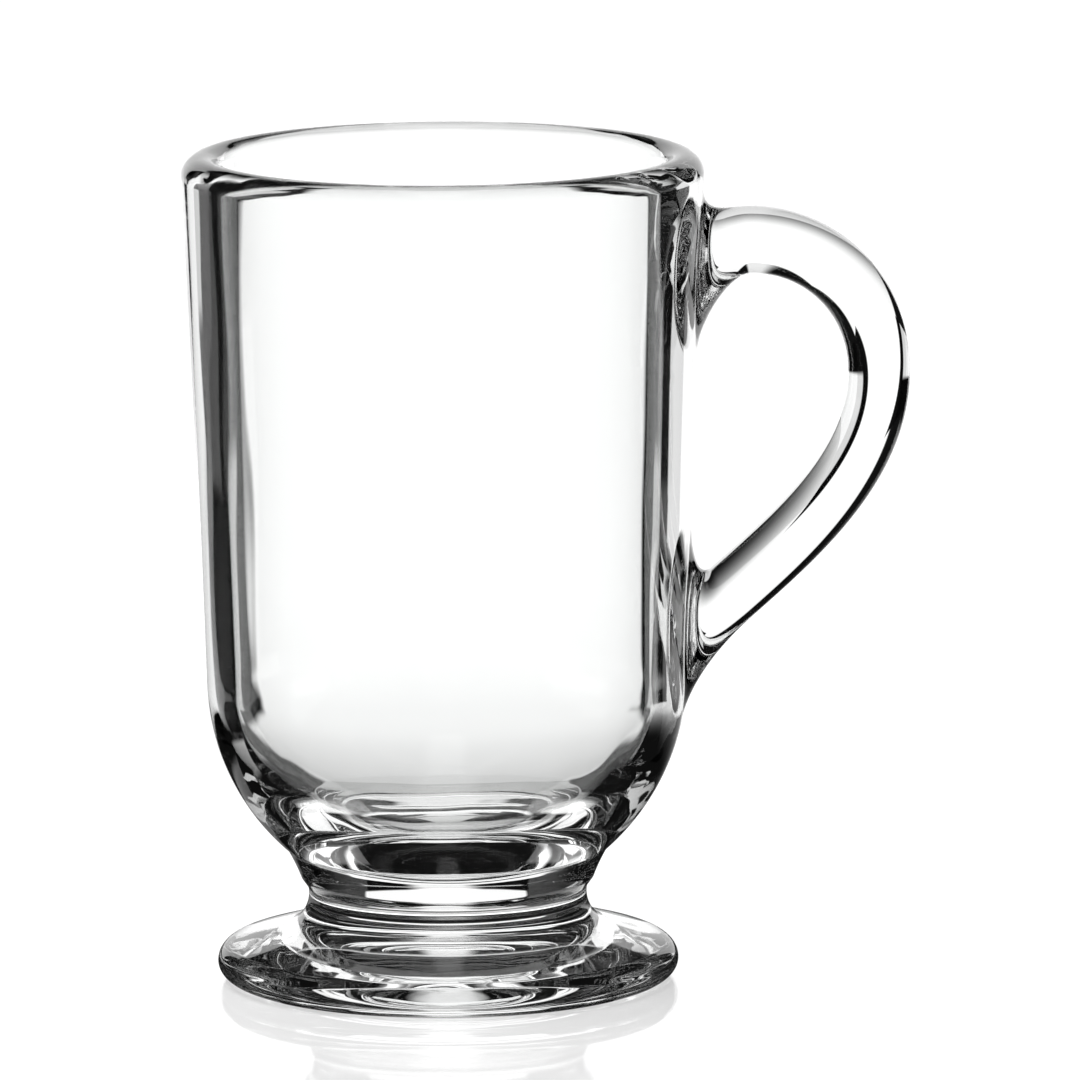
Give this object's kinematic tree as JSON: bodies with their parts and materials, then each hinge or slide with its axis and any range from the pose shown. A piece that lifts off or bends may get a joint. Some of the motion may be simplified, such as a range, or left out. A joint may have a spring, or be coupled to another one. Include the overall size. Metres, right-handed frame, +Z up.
{
  "type": "footed glass mug",
  "caption": "Clear glass mug with a tall round-bottomed bowl on a short waisted stem and round foot, and a loop handle on one side, for hot drinks.",
  "frame": {"origin": "under the middle of the whole outline, handle included, on the plane the foot rests on", "axes": "+Z up along the mug's height, +X towards the handle, +Y across the handle"},
  "size_m": [0.1114, 0.08, 0.128],
  "materials": {
    "clear_glass": "clear polished pressed glass, colourless, very smooth with faint mould ripple"
  },
  "bodies": {
    "root": {"bowl": "clear_glass", "stem": "clear_glass", "foot": "clear_glass", "handle": "clear_glass"}
  },
  "joints": []
}
